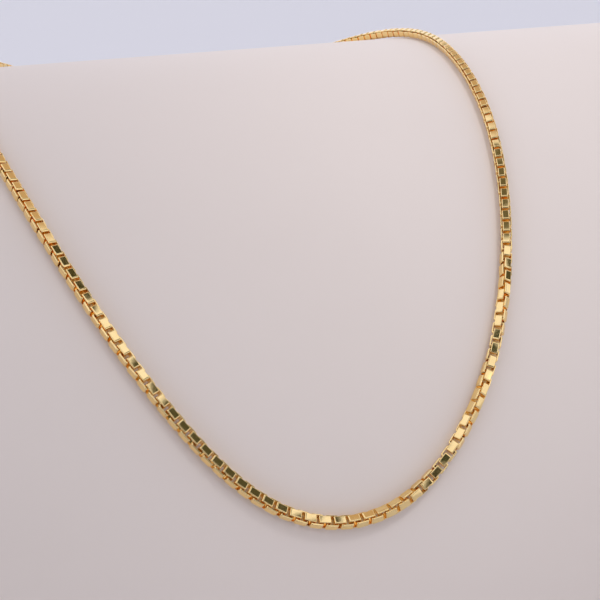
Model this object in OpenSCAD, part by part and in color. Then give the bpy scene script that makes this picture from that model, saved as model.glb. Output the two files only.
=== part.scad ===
// Box chain necklace lying over a plain rounded display.
// The chain is made of square links. Each is bent from a flat strip and turned a
// quarter against the next one, so that its end walls pass through its
// neighbours. The loop lies on the rounded top of the display, hangs down the
// front as a narrow U and closes behind it at a plain clasp.
// X runs across the display, -Y is its front and Z = 0 is its flat base.

/* [Display] */
// Radius of the rounded top, and so the height of the display
display_r = 90; // [80:1:120]
// Width of the display
display_w = 210; // [150:5:260]
// Rounding of the two curved rims
rim_r = 6; // [2:0.5:12]

/* [Chain] */
// Height and width of the chain across its flat faces
chain_h = 1.7; // [1.6:0.05:2.1]
// Outside length of one link
link_l = 1.8; // [1.7:0.01:2.1]
// Thickness of the strip that a link is bent from
strip_t = 0.2; // [0.15:0.01:0.22]
// Chamfer where the strip is bent
bend_c = 0.2; // [0.1:0.01:0.24]
// Free play between two links along the chain
end_gap = 0.33; // [0.2:0.01:0.4]
// Free play beside each edge of the strip, inside the next link
side_gap = 0.18; // [0.16:0.01:0.25]
// Number of open links in the front of the loop
front_links = 241; // [121:2:245]
// Gap between the chain and the display, and between two pieces that meet
seat_gap = 0.15; // [0.1:0.05:0.3]

/* [Clasp] */
// Length of the body of the clasp
clasp_l = 9; // [7:0.5:14]
// Width of the clasp
clasp_w = 3.6; // [3:0.1:5]
// Thickness of the clasp
clasp_t = 1.6; // [1.2:0.1:2.4]
// Wall of the clasp beside its opening
clasp_wall = 1; // [0.8:0.1:1.2]
// Outside diameter of the eye at each end
eye_d = 2.6; // [2.4:0.1:3.2]
// Diameter of the wire of an eye
eye_wire = 0.6; // [0.4:0.1:0.8]

/* [Hidden] */

// Guide points of the loop as one smooth closed curve, from its lowest point
// round to the right: millimetres across the display, and down its front along
// the surface
ROUTE = [
    [0, 95], [12, 90], [24, 76], [33, 56], [40, 33], [44, 11], [47, -10],
    [43, -30], [32, -49], [17, -63], [0, -68], [-17, -63], [-31, -50], [-41, -31],
    [-46, -9], [-45, 15], [-39, 38], [-32, 59], [-23, 78], [-13, 91]
];

// Twist of the chain: links to the right of the lowest one, and the degrees
// that its outer side has turned up there
TWIST = [
    [-50, 17], [-25, 22], [-9, 33], [-3, 46], [4, 64],
    [13, 111], [22, 157], [31, 203], [39, 246], [47, 290]
];

// Steps between two guide points, for measuring the length of the curve
fine_steps = 16;
// Sides of the tube that stands for the back of the chain
tube_sides = 8;
// Distance between two rings of that tube, in chain heights
ring_step = 2.5;

strip_w = chain_h - 2 * strip_t - 2 * side_gap;
pitch = link_l - 2 * strip_t - end_gap;
front_reach = (front_links - 1) / 2 * pitch + link_l / 2;

route_n = len(ROUTE);

// Point of the smooth curve at position u, counted in guide points
function flat_point(u) =
    let (i = floor(u), t = u - i,
         a = ROUTE[(i + route_n - 1) % route_n], b = ROUTE[i % route_n],
         c = ROUTE[(i + 1) % route_n], d = ROUTE[(i + 2) % route_n])
    (pow(1 - t, 3) * a + (3 * t * t * t - 6 * t * t + 4) * b
        + (-3 * t * t * t + 3 * t * t + 3 * t + 1) * c + t * t * t * d) / 6;

// Outward direction of the display at a distance down from its top line
function outward(down) = let (g = down / display_r * 180 / PI) [0, -sin(g), cos(g)];

// Point over the display at a height, from a point of the flat curve
function over_display(p, height) = [p[0], 0, 0] + (display_r + height) * outward(p[1]);

// Length of the loop up to each fine step, as [length, position]
function fine_point(i) = over_display(flat_point(i / fine_steps), chain_h / 2 + seat_gap);
length_at = [for (i = 0, s = 0; i <= route_n * fine_steps;
                  s = s + norm(fine_point(i + 1) - fine_point(i)), i = i + 1) [s, i / fine_steps]];
loop_l = length_at[len(length_at) - 1][0];

// Flat point, twist, height and place of the chain at distance s to the right
// of its lowest point, or to the left where s is negative
function flat_at(s) = flat_point(lookup(s < 0 ? s + loop_l : s, length_at));
function twist_at(s) = lookup(s / pitch, TWIST);
function height_at(s) =
    let (c = abs(cos(twist_at(s))), d = abs(sin(twist_at(s))))
    seat_gap + max(chain_h * c + strip_w * d, strip_w * c + chain_h * d) / 2;
function place_at(s) = over_display(flat_at(s), height_at(s));

function unit(v) = v / norm(v);

// Frame at distance s, as rows of a matrix whose columns are the direction of
// the chain, the inner side of the loop, the way up and the given place
function frame_at(s, place) =
    let (along = unit(place_at(s + pitch / 2) - place_at(s - pitch / 2)),
         inner = unit(cross(outward(flat_at(s)[1]), along)), up = cross(along, inner))
    [for (k = [0 : 2]) [along[k], inner[k], up[k], place[k]]];

module display() {
    color("seashell")
    rotate([90, 0, 90]) rotate_extrude(angle = 180, $fn = 180) display_half();
}

// Profile of the display, turned about its long axis
module display_half() {
    difference() {
        translate([0, -display_w / 2]) square([display_r, display_w]);
        for (m = [0, 1]) mirror([0, m])
        translate([display_r - rim_r, display_w / 2 - rim_r]) difference() {
            square(rim_r + 1);
            circle(rim_r, $fn = 48);
        }
    }
}

// One link: a square ring of strip, open along Y
module link() {
    x = link_l / 2;
    z = chain_h / 2;
    c = bend_c;
    t = strip_t;
    rotate([90, 0, 0]) linear_extrude(strip_w, center = true) polygon(
        [[x - c, -z], [x, c - z], [x, z - c], [x - c, z],
         [c - x, z], [-x, z - c], [-x, c - z], [c - x, -z],
         [x - t, t - z], [x - t, z - t], [t - x, z - t], [t - x, t - z]],
        [[0, 1, 2, 3, 4, 5, 6, 7], [8, 9, 10, 11]]);
}

// Open links along the front of the loop, every second one turned a quarter
module chain_front() {
    color("gold")
    for (i = [0 : front_links - 1]) {
        s = (i - (front_links - 1) / 2) * pitch;
        multmatrix(frame_at(s, place_at(s))) rotate([90 * (i % 2) - twist_at(s), 0, 0]) link();
    }
}

// The rest of the chain on both sides of the clasp, as a plain tube
module chain_back() {
    start = front_reach + end_gap;
    end = loop_l / 2 - clasp_reach() - seat_gap;
    rings = ceil((end - start) / (ring_step * chain_h));
    color("gold")
    for (side = [-1, 1])
        tube([for (i = [0 : rings]) side * (start + (end - start) * (side < 0 ? rings - i : i) / rings)]);
}

// Tube of the chain's height through the places at the listed distances
module tube(distances) {
    n = tube_sides;
    last = len(distances) - 1;
    corner_r = chain_h / 2 / cos(180 / n);
    points = [for (s = distances) let (m = frame_at(s, place_at(s)))
              for (k = [0 : n - 1]) let (g = (k + 0.5) * 360 / n, y = corner_r * cos(g), z = corner_r * sin(g))
              [for (row = m) row[1] * y + row[2] * z + row[3]]];
    walls = [for (i = [0 : last - 1], k = [0 : n - 1])
             [i * n + k, i * n + (k + 1) % n, (i + 1) * n + (k + 1) % n, (i + 1) * n + k]];
    first_cap = [for (k = [n - 1 : -1 : 0]) k];
    last_cap = [for (k = [0 : n - 1]) last * n + k];
    polyhedron(points, concat([first_cap], [for (f = walls) [f[3], f[2], f[1], f[0]]], [last_cap]));
}

// Distance from the middle of the clasp to the outer end of an eye
function clasp_reach() = clasp_l / 2 + eye_d - eye_wire;

// Slot with round ends
module slot(length, width) {
    square([length - width, width], center = true);
    for (m = [-1, 1]) translate([m * (length - width) / 2, 0]) circle(d = width, $fn = 48);
}

// Plain closed clasp with an eye at each end, flat on the display
module clasp() {
    s = loop_l / 2;
    color("gold")
    multmatrix(frame_at(s, over_display(flat_at(s), seat_gap + clasp_t / 2))) {
        linear_extrude(clasp_t, center = true) difference() {
            slot(clasp_l, clasp_w);
            slot(clasp_l - 2 * clasp_wall, clasp_w - 2 * clasp_wall);
        }
        for (m = [-1, 1]) translate([m * (clasp_reach() - eye_d / 2), 0, 0])
        rotate_extrude($fn = 48) translate([(eye_d - eye_wire) / 2, 0]) circle(d = eye_wire, $fn = 24);
    }
}

display();
chain_front();
chain_back();
clasp();
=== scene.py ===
"""Looks of a gold box chain necklace that lies over a plain rounded display."""

import math
import random

import bpy
from mathutils import Matrix, Vector


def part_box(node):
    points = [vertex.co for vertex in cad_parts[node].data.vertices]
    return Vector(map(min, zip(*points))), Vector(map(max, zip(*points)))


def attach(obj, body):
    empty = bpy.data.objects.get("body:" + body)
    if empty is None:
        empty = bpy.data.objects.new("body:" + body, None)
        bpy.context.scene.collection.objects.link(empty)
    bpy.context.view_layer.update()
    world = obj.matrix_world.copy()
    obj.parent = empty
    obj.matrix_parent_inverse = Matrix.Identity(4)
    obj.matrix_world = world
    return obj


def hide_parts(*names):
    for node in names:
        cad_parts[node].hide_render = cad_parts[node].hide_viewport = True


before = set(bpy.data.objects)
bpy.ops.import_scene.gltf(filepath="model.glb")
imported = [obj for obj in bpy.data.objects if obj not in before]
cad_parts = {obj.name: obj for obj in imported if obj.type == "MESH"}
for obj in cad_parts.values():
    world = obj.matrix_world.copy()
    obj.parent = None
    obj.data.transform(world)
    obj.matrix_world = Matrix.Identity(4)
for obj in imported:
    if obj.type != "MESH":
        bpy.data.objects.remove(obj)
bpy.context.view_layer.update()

MM = 0.001

# Sizes of the solids
display_low, display_high = (Vector(corner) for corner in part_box("display"))
DISPLAY_R = display_high.z
DISPLAY_W = display_high.x - display_low.x
RIM_R = 6 * MM
CHAIN_H = 1.7 * MM
LINK_L = 1.8 * MM
SOLID_STRIP_W = 0.94 * MM
PITCH = 1.07 * MM
SEAT_GAP = 0.15 * MM
FRONT_LINKS = 241
# From the middle of the clasp to the outer end of an eye
CLASP_REACH = 6.5 * MM
# How far the middle of the last link lies past the outer end of the eye
EYE_REACH = 0.1 * MM
# Steps round the display and round each of its rims
DISPLAY_STEPS = 120
RIM_STEPS = 8

# The chain's route, as in the source of the solids: millimetres across the
# display and down its front along the surface
ROUTE = [
    (0, 95), (12, 90), (24, 76), (33, 56), (40, 33), (44, 11), (47, -10),
    (43, -30), (32, -49), (17, -63), (0, -68), (-17, -63), (-31, -50), (-41, -31),
    (-46, -9), (-45, 15), (-39, 38), (-32, 59), (-23, 78), (-13, 91),
]
# Links to the right of the lowest one, and the degrees that the chain's outer
# side has turned up there
TWIST = [
    (-50, 17), (-25, 22), (-9, 33), (-3, 46), (4, 64),
    (13, 111), (22, 157), (31, 203), (39, 246), (47, 290),
]
# Steps between two guide points, for measuring the length of the curve
FINE_STEPS = 16

# Finish of a link, which the solids leave out; CROWN is the lean of a flat
# face at its rim, in degrees
STRIP_W = 1.06 * MM
STRIP_T = 0.22 * MM
BEND_R = 0.26 * MM
BEND_STEPS = 6
EDGE_R = 0.13 * MM
EDGE_STEPS = 4
INNER_EDGE_R = 0.03 * MM
CROWN = 1
# The most that a link may lie off its place, in degrees of roll, pitch and yaw
TILT = (2.8, 2.8, 2.4)
TILT_SEED = 54

# Colours
GOLD_LIGHT = (1.0, 0.75, 0.345)
GOLD_DEEP = (0.98, 0.71, 0.305)
DISPLAY_LIGHT = (0.86, 0.765, 0.69)
DISPLAY_DEEP = (0.84, 0.745, 0.67)
# Floor colours: painted shade in front of the display, painted light behind it
FLOOR_FRONT_PAINTED_SHADE = (0.66, 0.65, 0.68)
FLOOR_BACK_PAINTED_LIGHT = (0.84, 0.83, 0.85)
BACKDROP = (0.66, 0.67, 0.78)

# The studio around the object, colour and strength
STUDIO_BASE = ((0.87, 0.87, 0.97), 1.04)
# Zones of the studio, each drawn over the ones before it: azimuth, elevation,
# radius and softness in degrees, colour and strength
STUDIO_ZONES = [
    (150, 60, 60, 40, (0.95, 0.97, 1.12), 1.08),
    (160, 48, 18, 4, (0.55, 0.42, 0.32), 1.0),
    (72, 36, 15.5, 1.5, (0.08, 0.08, 0.055), 1.0),
    (112, 62, 7.5, 1.5, (0.06, 0.06, 0.035), 1.0),
    (119, 50, 5.5, 2, (0.22, 0.22, 0.16), 1.0),
    (175, 81, 11.5, 2, (0.14, 0.13, 0.09), 1.0),
    (-20, 19, 25, 2, (0.05, 0.04, 0.025), 1.0),
    (-58, 68, 5, 1.5, (0.06, 0.07, 0.05), 1.0),
    (-7, 59, 8, 2, (0.05, 0.06, 0.04), 1.0),
    (13, 35, 6, 1.5, (0.05, 0.05, 0.035), 1.0),
    (24, 16, 8, 2, (0.05, 0.05, 0.035), 1.0),
    (46, 27, 10, 2, (1.0, 0.98, 1.0), 1.5),
]

# The key lamp, in metres, degrees and watts: the point that it is aimed at,
# the way from there to the lamp, and its size, beam, edge softness and light
KEY_TARGET = Vector((0.13, -0.045, 0.07))
KEY_AZIMUTH = 30
KEY_ELEVATION = 75
KEY_DISTANCE = 0.6
KEY_SIZE = 0.035
KEY_ANGLE = 27.7
KEY_BLEND = 0.1
KEY_POWER = 2.4
KEY_COLOUR = (1.0, 0.98, 0.97)

# Half the side of the square floor
FLOOR_HALF = 4.0

# How often light is followed from surface to surface
LIGHT_BOUNCES = 16
GLOSSY_BOUNCES = 7

# The photograph's view
CAMERA_PLACE = Vector((-36.8 * MM, -158.2 * MM, 128.2 * MM))
CAMERA_TURN = 18.58
CAMERA_DOWN = 28.85
FOCAL_PIXELS = 850
IMAGE_PIXELS = 600
SENSOR = 36
CLIP_NEAR = 0.005
CLIP_FAR = 100


def clamp(value, low, high):
    return max(low, min(high, value))


def table_value(table, x):
    """Value of a two-column table at x, on straight lines between its rows."""
    if x <= table[0][0]:
        return table[0][1]
    for (x0, y0), (x1, y1) in zip(table, table[1:]):
        if x <= x1:
            return y0 + (y1 - y0) * (x - x0) / (x1 - x0)
    return table[-1][1]


class Route:
    """The chain's line over the display, measured by distance along it."""

    def __init__(self):
        self.guide = [Vector(p) * MM for p in ROUTE]
        self.count = len(self.guide)
        self.lengths = [0.0]
        last = self.over(self.flat(0), CHAIN_H / 2 + SEAT_GAP)
        for i in range(1, self.count * FINE_STEPS + 1):
            here = self.over(self.flat(i / FINE_STEPS), CHAIN_H / 2 + SEAT_GAP)
            self.lengths.append(self.lengths[-1] + (here - last).length)
            last = here
        self.total = self.lengths[-1]

    def flat(self, u):
        i = math.floor(u)
        t = u - i
        a, b, c, d = (self.guide[(i + k) % self.count] for k in (-1, 0, 1, 2))
        return ((1 - t) ** 3 * a + (3 * t**3 - 6 * t * t + 4) * b
                + (-3 * t**3 + 3 * t * t + 3 * t + 1) * c + t**3 * d) / 6

    def flat_at(self, s):
        s = s % self.total
        low, high = 0, len(self.lengths) - 1
        while high - low > 1:
            middle = (low + high) // 2
            if self.lengths[middle] <= s:
                low = middle
            else:
                high = middle
        share = (s - self.lengths[low]) / (self.lengths[high] - self.lengths[low])
        return self.flat((low + share) / FINE_STEPS)

    @staticmethod
    def outward(down):
        g = down / DISPLAY_R
        return Vector((0, -math.sin(g), math.cos(g)))

    def over(self, p, height):
        return Vector((p.x, 0, 0)) + (DISPLAY_R + height) * self.outward(p.y)

    @staticmethod
    def twist(s):
        return table_value(TWIST, s / PITCH)

    def place(self, s):
        turn = math.radians(self.twist(s))
        c, d = abs(math.cos(turn)), abs(math.sin(turn))
        half = max(CHAIN_H * c + SOLID_STRIP_W * d, SOLID_STRIP_W * c + CHAIN_H * d) / 2
        return self.over(self.flat_at(s), SEAT_GAP + half)

    def matrix(self, s):
        """Frame at distance s: X along the chain, Y to the inner side, Z up."""
        along = (self.place(s + PITCH / 2) - self.place(s - PITCH / 2)).normalized()
        inner = self.outward(self.flat_at(s).y).cross(along).normalized()
        up = along.cross(inner)
        return Matrix.Translation(self.place(s)) @ Matrix((along, inner, up)).transposed().to_4x4()


route = Route()


def mesh_object(name, points, faces, material, smooth=True, normals=None):
    mesh = bpy.data.meshes.new(name)
    mesh.from_pydata(points, [], faces)
    mesh.materials.append(material)
    mesh.polygons.foreach_set("use_smooth", [smooth] * len(mesh.polygons))
    if normals:
        mesh.normals_split_custom_set(normals)
    mesh.update()
    piece = bpy.data.objects.new(name, mesh)
    bpy.context.scene.collection.objects.link(piece)
    return piece


def link_stations():
    """Ring of a link seen from its open side: (outer point, inner point, facing)."""
    half = Vector((LINK_L / 2, 0, CHAIN_H / 2))
    stations = []
    for quarter, (sx, sz) in enumerate([(1, 1), (-1, 1), (-1, -1), (1, -1)]):
        bend = Vector((sx * (half.x - BEND_R), 0, sz * (half.z - BEND_R)))
        for step in range(BEND_STEPS + 1):
            turn = 90 * step / BEND_STEPS
            n, facing = (Vector((math.cos(g), 0, math.sin(g))) for g in (
                math.radians(90 * quarter + turn),
                math.radians(90 * quarter + clamp(turn, CROWN, 90 - CROWN))))
            stations.append((bend + BEND_R * n, bend + (BEND_R - STRIP_T) * n, facing))
    return stations


def strip_section():
    """Section of the strip: (across, share of the depth, degrees turned outward)."""
    half = []
    for step in range(EDGE_STEPS + 1):
        turn = 90 * step / EDGE_STEPS
        g = math.radians(turn)
        across = STRIP_W / 2 - EDGE_R * (1 - math.sin(g))
        half.append((across, EDGE_R * (1 - math.cos(g)) / STRIP_T, max(turn, CROWN)))
    for turn in (90, 180):
        g = math.radians(turn)
        across = STRIP_W / 2 - INNER_EDGE_R * (1 - math.sin(g))
        half.append((across, 1 - INNER_EDGE_R * (1 + math.cos(g)) / STRIP_T, turn))
    return [(-across, depth, -turn) for across, depth, turn in reversed(half)] + half


def link_template():
    """Points of a link, its faces, and the facing direction at each face's corners."""
    section = strip_section()
    stations = link_stations()
    points = [outer.lerp(inner, depth) + Vector((0, across, 0))
              for outer, inner, facing in stations for across, depth, turn in section]
    count, rows = len(section), len(stations)
    faces, normals = [], []
    for i in range(rows):
        for k in range(count):
            next_i, next_k = (i + 1) % rows, (k + 1) % count
            corners = [(i, k), (i, next_k), (next_i, next_k), (next_i, k)]
            faces.append([row * count + place for row, place in corners])
            for row, place in corners:
                g = math.radians(section[place][2])
                normals.append(math.cos(g) * stations[row][2] + Vector((0, math.sin(g), 0)))
    return points, faces, normals


LINK_POINTS, LINK_FACES, LINK_NORMALS = link_template()


def chain_piece(name, places, material):
    """One mesh of links; places holds (distance, quarter turn) for each link."""
    tilt = random.Random(TILT_SEED)
    points, faces, normals = [], [], []
    for s, quarter in places:
        roll, pitch, yaw = (math.radians(tilt.uniform(-most, most)) for most in TILT)
        roll += math.radians(90 * quarter - route.twist(s))
        matrix = (route.matrix(s) @ Matrix.Rotation(roll, 4, "X")
                  @ Matrix.Rotation(pitch, 4, "Y") @ Matrix.Rotation(yaw, 4, "Z"))
        first = len(points)
        points.extend(matrix @ p for p in LINK_POINTS)
        faces.extend([first + v for v in face] for face in LINK_FACES)
        turn = matrix.to_3x3()
        normals.extend(turn @ n for n in LINK_NORMALS)
    return mesh_object(name, points, faces, material, normals=normals)


def node(tree, kind, **settings):
    made = tree.nodes.new(kind)
    for key, value in settings.items():
        setattr(made, key, value)
    return made


def new_material(name):
    material = bpy.data.materials.new(name)
    material.use_nodes = True
    tree = material.node_tree
    return material, tree, tree.nodes["Principled BSDF"]


def noise(tree, scale, detail, stretch=(1, 1, 1)):
    """Grey noise over the piece; scale is in grains a metre."""
    where = node(tree, "ShaderNodeTexCoord").outputs["Object"]
    mapping = node(tree, "ShaderNodeMapping")
    mapping.inputs["Scale"].default_value = stretch
    grain = node(tree, "ShaderNodeTexNoise")
    grain.inputs["Scale"].default_value = scale
    grain.inputs["Detail"].default_value = detail
    tree.links.new(where, mapping.inputs["Vector"])
    tree.links.new(mapping.outputs["Vector"], grain.inputs["Vector"])
    return grain.outputs["Fac"]


def spread(tree, grey, low, high, start=0.3, end=0.7):
    """The grey value as numbers between low and high, reached at start and end."""
    made = node(tree, "ShaderNodeMapRange")
    made.inputs["From Min"].default_value = start
    made.inputs["From Max"].default_value = end
    made.inputs["To Min"].default_value = low
    made.inputs["To Max"].default_value = high
    tree.links.new(grey, made.inputs["Value"])
    return made.outputs["Result"]


def two_tone(tree, grey, first, second, start=0.3, end=0.7):
    mix = node(tree, "ShaderNodeMix", data_type="RGBA")
    mix.inputs["A"].default_value = (*first, 1)
    mix.inputs["B"].default_value = (*second, 1)
    tree.links.new(spread(tree, grey, 0, 1, start, end), mix.inputs["Factor"])
    return mix.outputs["Result"]


def bump(tree, grey, depth, under=None):
    """Relief of the given depth in metres, over the relief under it."""
    made = node(tree, "ShaderNodeBump")
    made.inputs["Strength"].default_value = 1
    made.inputs["Distance"].default_value = depth
    tree.links.new(grey, made.inputs["Height"])
    if under is not None:
        tree.links.new(under, made.inputs["Normal"])
    return made.outputs["Normal"]


def gold_material():
    """Polished gold with faint haze and hairlines from wear."""
    material, tree, shader = new_material("polished_gold")
    shader.inputs["Metallic"].default_value = 1
    tone = two_tone(tree, noise(tree, scale=700, detail=2), GOLD_LIGHT, GOLD_DEEP)
    haze = spread(tree, noise(tree, scale=2600, detail=4), low=0.06, high=0.13)
    dents = bump(tree, noise(tree, scale=1500, detail=2), depth=0.0025 * MM)
    scratches = noise(tree, scale=9000, detail=3, stretch=(1, 0.12, 1))
    hairlines = bump(tree, scratches, depth=0.0008 * MM, under=dents)
    tree.links.new(tone, shader.inputs["Base Color"])
    tree.links.new(haze, shader.inputs["Roughness"])
    tree.links.new(hairlines, shader.inputs["Normal"])
    return material


def display_material():
    """Matt, faintly rosy moulding with a fine grain."""
    material, tree, shader = new_material("matt_display")
    shader.inputs["Sheen Weight"].default_value = 0.08
    shader.inputs["Specular IOR Level"].default_value = 0.35
    tone = two_tone(tree, noise(tree, scale=22, detail=4), DISPLAY_LIGHT, DISPLAY_DEEP)
    haze = spread(tree, noise(tree, scale=900, detail=3), low=0.72, high=0.86)
    waves = bump(tree, noise(tree, scale=30, detail=2), depth=0.05 * MM)
    grain = bump(tree, noise(tree, scale=3200, detail=4), depth=0.006 * MM, under=waves)
    tree.links.new(tone, shader.inputs["Base Color"])
    tree.links.new(haze, shader.inputs["Roughness"])
    tree.links.new(grain, shader.inputs["Normal"])
    return material


def floor_material():
    """Pale paper with painted shade and light: darker in front of the display, lighter behind it.
    """
    material, tree, shader = new_material("pale_floor")
    split = node(tree, "ShaderNodeSeparateXYZ")
    tree.links.new(node(tree, "ShaderNodeTexCoord").outputs["Object"], split.inputs["Vector"])
    # Painted shade in front of the display, fading to painted light behind it
    tone = two_tone(tree, split.outputs["Y"], FLOOR_FRONT_PAINTED_SHADE, FLOOR_BACK_PAINTED_LIGHT, start=0, end=0.4)
    haze = spread(tree, noise(tree, scale=3, detail=2), low=0.84, high=0.94)
    tree.links.new(tone, shader.inputs["Base Color"])
    tree.links.new(haze, shader.inputs["Roughness"])
    return material


def display_piece(material):
    """Half-round block with rounded rims, turned about its long axis."""
    half = DISPLAY_W / 2
    outline = [(0, -half)]
    for step in range(RIM_STEPS + 1):
        g = math.radians(90 * step / RIM_STEPS)
        outline.append((DISPLAY_R - RIM_R + RIM_R * math.sin(g), -half + RIM_R * (1 - math.cos(g))))
    outline += [(r, -x) for r, x in reversed(outline)]
    rows = len(outline)
    points, faces = [], []
    for i in range(DISPLAY_STEPS + 1):
        g = math.pi * i / DISPLAY_STEPS
        points += [(x, -r * math.cos(g), r * math.sin(g)) for r, x in outline]
    for i in range(DISPLAY_STEPS):
        for k in range(rows - 1):
            a, b = i * rows + k, i * rows + k + 1
            faces.append((a, a + rows, b + rows, b))
    last = DISPLAY_STEPS * rows
    faces.append([*range(rows), *reversed(range(last, last + rows))])
    return mesh_object("display_block", points, faces, material)


def add_camera():
    data = bpy.data.cameras.new("camera")
    data.sensor_width = SENSOR
    data.lens = SENSOR * FOCAL_PIXELS / IMAGE_PIXELS
    data.clip_start = CLIP_NEAR
    data.clip_end = CLIP_FAR
    camera = bpy.data.objects.new("camera", data)
    camera.location = CAMERA_PLACE
    camera.rotation_euler = (math.radians(90 - CAMERA_DOWN), 0, math.radians(-CAMERA_TURN))
    bpy.context.scene.collection.objects.link(camera)
    bpy.context.scene.camera = camera


def direction(azimuth, elevation):
    """Unit vector from the object: azimuth 0 is the front, 90 the right."""
    a, e = math.radians(azimuth), math.radians(elevation)
    return Vector((math.sin(a) * math.cos(e), -math.cos(a) * math.cos(e), math.sin(e)))


def add_key_lamp():
    """Soft-edged spot lamp; the gold shows the studio, not the lamp."""
    data = bpy.data.lights.new("key", "SPOT")
    data.shadow_soft_size = KEY_SIZE
    data.spot_size = math.radians(KEY_ANGLE)
    data.spot_blend = KEY_BLEND
    data.energy = KEY_POWER
    data.color = KEY_COLOUR
    lamp = bpy.data.objects.new("key", data)
    toward = direction(KEY_AZIMUTH, KEY_ELEVATION)
    lamp.location = KEY_TARGET + KEY_DISTANCE * toward
    lamp.rotation_euler = toward.to_track_quat("Z", "Y").to_euler()
    lamp.visible_glossy = False
    bpy.context.scene.collection.objects.link(lamp)


def add_world():
    """The studio as light and reflections; the camera itself sees a plain backdrop."""
    world = bpy.data.worlds.new("studio")
    world.use_nodes = True
    tree = world.node_tree
    background = tree.nodes["Background"]
    where = node(tree, "ShaderNodeTexCoord").outputs["Generated"]
    base, strength = STUDIO_BASE
    colour = node(tree, "ShaderNodeRGB")
    colour.outputs[0].default_value = (*(c * strength for c in base), 1)
    result = colour.outputs[0]
    for azimuth, elevation, radius, soft, tint, strength in STUDIO_ZONES:
        dot = node(tree, "ShaderNodeVectorMath", operation="DOT_PRODUCT")
        tree.links.new(where, dot.inputs[0])
        dot.inputs[1].default_value = direction(azimuth, elevation)
        edge = node(tree, "ShaderNodeMapRange", interpolation_type="SMOOTHSTEP")
        edge.inputs["From Min"].default_value = math.cos(math.radians(radius + soft))
        edge.inputs["From Max"].default_value = math.cos(math.radians(max(radius - soft, 0)))
        tree.links.new(dot.outputs["Value"], edge.inputs["Value"])
        mix = node(tree, "ShaderNodeMix", data_type="RGBA")
        tree.links.new(edge.outputs["Result"], mix.inputs["Factor"])
        tree.links.new(result, mix.inputs["A"])
        mix.inputs["B"].default_value = (*(c * strength for c in tint), 1)
        result = mix.outputs["Result"]
    seen = node(tree, "ShaderNodeLightPath").outputs["Is Camera Ray"]
    mix = node(tree, "ShaderNodeMix", data_type="RGBA")
    tree.links.new(seen, mix.inputs["Factor"])
    tree.links.new(result, mix.inputs["A"])
    mix.inputs["B"].default_value = (*BACKDROP, 1)
    tree.links.new(mix.outputs["Result"], background.inputs["Color"])
    bpy.context.scene.world = world


def add_floor(material):
    points = [(x * FLOOR_HALF, y * FLOOR_HALF, 0) for x, y in [(-1, -1), (1, -1), (1, 1), (-1, 1)]]
    mesh_object("floor", points, [(0, 1, 2, 3)], material, smooth=False)


def add_piece(piece, slot, *nodes):
    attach(piece, "root")
    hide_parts(*nodes)


def front_places():
    """Distance and quarter turn of each link along the front."""
    return [((i - (FRONT_LINKS - 1) / 2) * PITCH, i % 2) for i in range(FRONT_LINKS)]


def back_places():
    """Links of the hidden back, spread evenly up to the eyes of the clasp."""
    start = (FRONT_LINKS + 1) / 2 * PITCH
    end = route.total / 2 - CLASP_REACH + EYE_REACH
    count = round((end - start) / PITCH)
    step = (end - start) / count
    right = [(start + i * step, (i + 1) % 2) for i in range(count + 1)]
    left = [(-s, quarter) for s, quarter in right]
    return left + right


bpy.context.scene.view_settings.view_transform = "Standard"
bpy.context.scene.cycles.max_bounces = LIGHT_BOUNCES
bpy.context.scene.cycles.glossy_bounces = GLOSSY_BOUNCES
add_camera()
gold = gold_material()
add_piece(display_piece(display_material()), "display", "display")
add_piece(chain_piece("chain_front_links", front_places(), gold), "gold", "chain_front")
add_piece(chain_piece("chain_back_links", back_places(), gold), "gold", "chain_back")
bpy.data.objects["clasp"].data.materials.clear()
bpy.data.objects["clasp"].data.materials.append(gold)
add_floor(floor_material())
add_key_lamp()
add_world()
